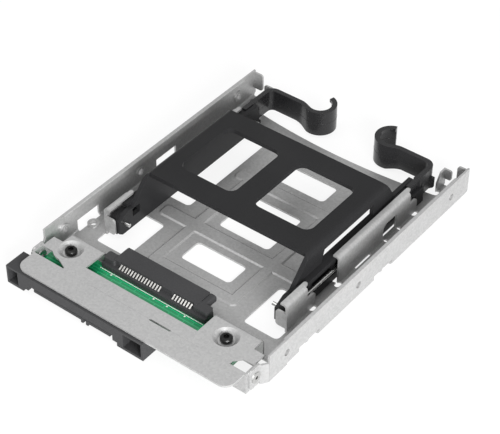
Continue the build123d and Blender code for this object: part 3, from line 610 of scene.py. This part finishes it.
class BRACKET_OT_dress_carrier(bpy.types.Operator):
    """Finish the sliding carrier and its drive pin wires."""

    bl_idname = "bracket.dress_carrier"
    bl_label = "Dress Carrier"

    def execute(self, context):
        _, plastic, _ = settings(context)
        body = plastic_material(
            "Carrier Plastic", tuple(plastic.carrier), roughness=0.42, spark=plastic.spark,
            strength=0.9, specular=0.13,
        )
        softened("carrier", body, plastic.edge)
        wire = metal_material("Spring Wire", SPRING_STEEL, roughness=0.25)
        for node in ("wire_clip_left", "wire_clip_right"):
            dress(node, wire)
        return {"FINISHED"}


def parting_line(node_name, z, front, radius):
    """A fine bead where a mould's halves meet: the node's section at height z, in millimetres.

    It starts behind front, clear of the knuckle that the lever turns in. The rearmost edges are left
    out, which keeps it inside the CAD's box.
    """
    _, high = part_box(node_name)
    source = NODES[node_name]
    work = bmesh.new()
    work.from_mesh(source.data)
    bmesh.ops.remove_doubles(work, verts=work.verts, dist=MERGE_GAP)
    bmesh.ops.bisect_plane(
        work, geom=[*work.verts, *work.edges, *work.faces],
        plane_co=(0, front * MM, 0), plane_no=(0, 1, 0), clear_inner=True,
    )
    cut = bmesh.ops.bisect_plane(
        work, geom=[*work.verts, *work.edges, *work.faces],
        plane_co=(0, 0, z * MM), plane_no=(0, 0, 1), clear_inner=True, clear_outer=True,
    )["geom_cut"]
    edges = [e for e in cut if isinstance(e, bmesh.types.BMEdge)]
    rear = high[1] - REAR_MARGIN_RADII * radius * MM
    ties = {}
    for edge in edges:
        if all(v.co.y < rear for v in edge.verts):
            for a, b in (edge.verts, reversed(edge.verts)):
                ties.setdefault(a, []).append(b)
    curve = bpy.data.curves.new(f"{node_name}_parting", "CURVE")
    curve.dimensions = "3D"
    curve.bevel_depth = radius * MM
    curve.bevel_resolution = 1
    curve.use_fill_caps = True
    left = set(ties)
    while left:
        ends = sorted((v for v in left if len(ties[v]) == 1), key=lambda v: tuple(v.co))
        here = ends[0] if ends else min(left, key=lambda v: tuple(v.co))
        line = [here]
        left.discard(here)
        while True:
            onward = [v for v in ties[here] if v in left]
            if not onward:
                break
            here = onward[0]
            left.discard(here)
            line.append(here)
        if len(line) > 1:
            run = curve.splines.new("POLY")
            run.points.add(len(line) - 1)
            for point, vert in zip(run.points, line):
                point.co = (*vert.co, 1)
    work.free()
    shape = placed(f"{node_name}_parting_curve", curve)
    mesh = baked(shape)
    bpy.data.objects.remove(shape)
    piece = placed(f"{node_name}_parting", mesh)
    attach(piece, source["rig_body"])
    return piece


class BRACKET_OT_dress_levers(bpy.types.Operator):
    """Finish both squeeze levers."""

    bl_idname = "bracket.dress_levers"
    bl_label = "Dress Levers"

    def execute(self, context):
        _, plastic, _ = settings(context)
        body = plastic_material(
            "Lever Plastic", tuple(plastic.lever), roughness=0.26, spark=plastic.spark,
            strength=0.12, specular=0.32, coat=0.2,
        )
        for node in ("lever_left", "lever_right"):
            softened(node, body, plastic.edge)
            bead = parting_line(node, PARTING_Z, PARTING_FRONT_Y, PARTING_RADIUS)
            bead.data.materials.append(body)
        return {"FINISHED"}


# Stage

def paper_material():
    """Pale floor that the camera sees almost white, with the object's shadow left on it."""
    made = new_material("Pale Paper")
    tree = made.node_tree
    ray = tree.nodes.new("ShaderNodeLightPath")
    seen = put(tree, "ShaderNodeMath", operation="MAXIMUM")
    through = put(tree, "ShaderNodeMath", operation="MAXIMUM")
    share = put(tree, "ShaderNodeMath", operation="MULTIPLY")
    share.inputs[1].default_value = PAPER_LIT_SHARE
    matte = put(tree, "ShaderNodeBsdfDiffuse", Color=PAPER_COLOUR)
    lit = put(tree, "ShaderNodeEmission", Strength=1.0, Color=WHITE)
    mixed = tree.nodes.new("ShaderNodeMixShader")
    link = tree.links.new
    link(ray.outputs["Is Camera Ray"], seen.inputs[0])
    link(ray.outputs["Is Glossy Ray"], seen.inputs[1])
    link(seen.outputs[0], through.inputs[0])
    link(ray.outputs["Is Transmission Ray"], through.inputs[1])
    link(through.outputs[0], share.inputs[0])
    link(share.outputs[0], mixed.inputs["Fac"])
    link(matte.outputs["BSDF"], mixed.inputs[1])
    link(lit.outputs["Emission"], mixed.inputs[2])
    link(mixed.outputs["Shader"], output_of(tree).inputs["Surface"])
    return made


def pale_world(strength):
    """A surround that the camera sees white and that lights the part at the given strength."""
    world = bpy.data.worlds.new("Pale Surround")
    world.use_nodes = True
    tree = world.node_tree
    tree.nodes.clear()
    out = tree.nodes.new("ShaderNodeOutputWorld")
    ray = tree.nodes.new("ShaderNodeLightPath")
    soft = put(tree, "ShaderNodeBackground", Strength=strength, Color=WHITE)
    white = put(tree, "ShaderNodeBackground", Strength=1.0, Color=WHITE)
    mixed = tree.nodes.new("ShaderNodeMixShader")
    tree.links.new(ray.outputs["Is Camera Ray"], mixed.inputs["Fac"])
    tree.links.new(soft.outputs["Background"], mixed.inputs[1])
    tree.links.new(white.outputs["Background"], mixed.inputs[2])
    tree.links.new(mixed.outputs["Shader"], out.inputs["Surface"])
    bpy.context.scene.world = world


def soft_lamp(name, place, target, size, power):
    """A square area lamp at place that faces target, all in metres."""
    data = bpy.data.lights.new(name, "AREA")
    data.shape = "SQUARE"
    data.size = size
    data.energy = power
    lamp = placed(name, data)
    lamp.location = place
    lamp.rotation_euler = (Vector(target) - Vector(place)).to_track_quat("-Z", "Y").to_euler()


class BRACKET_OT_set_stage(bpy.types.Operator):
    """Add the floor, the soft light and the camera."""

    bl_idname = "bracket.set_stage"
    bl_label = "Set Stage"

    def execute(self, context):
        stage = context.scene.bracket_stage
        mesh = bpy.data.meshes.new("paper_floor")
        low, high = -FLOOR_HALF, FLOOR_HALF
        corners = [(low, low, 0), (high, low, 0), (high, high, 0), (low, high, 0)]
        mesh.from_pydata(corners, [], [(0, 1, 2, 3)])
        mesh.materials.append(paper_material())
        floor = placed("paper_floor", mesh)
        floor.location = (0, 0, -FLOOR_DROP)
        pale_world(stage.sky)
        soft_lamp("overhead", KEY_PLACE, LAMP_TARGET, KEY_SIZE, stage.key_power)
        soft_lamp("front_fill", FILL_PLACE, LAMP_TARGET, FILL_SIZE, stage.fill_power)
        target = Vector(CAMERA_TARGET) * MM
        flat, rise = math.cos(stage.elevation), math.sin(stage.elevation)
        back = Vector((math.sin(stage.azimuth) * flat, -math.cos(stage.azimuth) * flat, rise))
        data = bpy.data.cameras.new("photo_view")
        data.sensor_width = SENSOR_WIDTH
        data.lens = stage.focal_px / PHOTO_WIDTH_PX * SENSOR_WIDTH
        data.clip_start = CLIP_START
        camera = placed("photo_view", data)
        turn = (-back).to_track_quat("-Z", "Y").to_matrix().to_4x4()
        camera.matrix_world = (
            Matrix.Translation(target + stage.distance * back)
            @ turn @ Matrix.Rotation(stage.roll, 4, "Z")
        )
        context.scene.camera = camera
        context.scene.view_settings.view_transform = "Standard"
        return {"FINISHED"}


STEPS = (
    BRACKET_OT_dress_tray,
    BRACKET_OT_dress_board,
    BRACKET_OT_print_board,
    BRACKET_OT_dress_connectors,
    BRACKET_OT_dress_carrier,
    BRACKET_OT_dress_levers,
    BRACKET_OT_set_stage,
)


class BRACKET_PT_panel(bpy.types.Panel):
    """Lists the steps that dress the bracket."""

    bl_idname = "BRACKET_PT_panel"
    bl_label = "Drive Bracket"
    bl_space_type = "VIEW_3D"
    bl_region_type = "UI"
    bl_category = "Bracket"

    def draw(self, context):
        for step in STEPS:
            self.layout.operator(step.bl_idname)


GROUPS = (
    (SteelFinish, "bracket_steel"),
    (PlasticFinish, "bracket_plastic"),
    (BoardFinish, "bracket_board"),
    (StageSettings, "bracket_stage"),
)


def register():
    for group, name in GROUPS:
        bpy.utils.register_class(group)
        setattr(bpy.types.Scene, name, bpy.props.PointerProperty(type=group))
    for step in STEPS:
        bpy.utils.register_class(step)
    bpy.utils.register_class(BRACKET_PT_panel)


def unregister():
    bpy.utils.unregister_class(BRACKET_PT_panel)
    for step in reversed(STEPS):
        bpy.utils.unregister_class(step)
    for group, name in reversed(GROUPS):
        delattr(bpy.types.Scene, name)
        bpy.utils.unregister_class(group)


def main():
    register()
    bpy.ops.bracket.dress_tray()
    bpy.ops.bracket.dress_board()
    bpy.ops.bracket.print_board()
    bpy.ops.bracket.dress_connectors()
    bpy.ops.bracket.dress_carrier()
    bpy.ops.bracket.dress_levers()
    bpy.ops.bracket.set_stage()


if __name__ == "__main__":
    main()
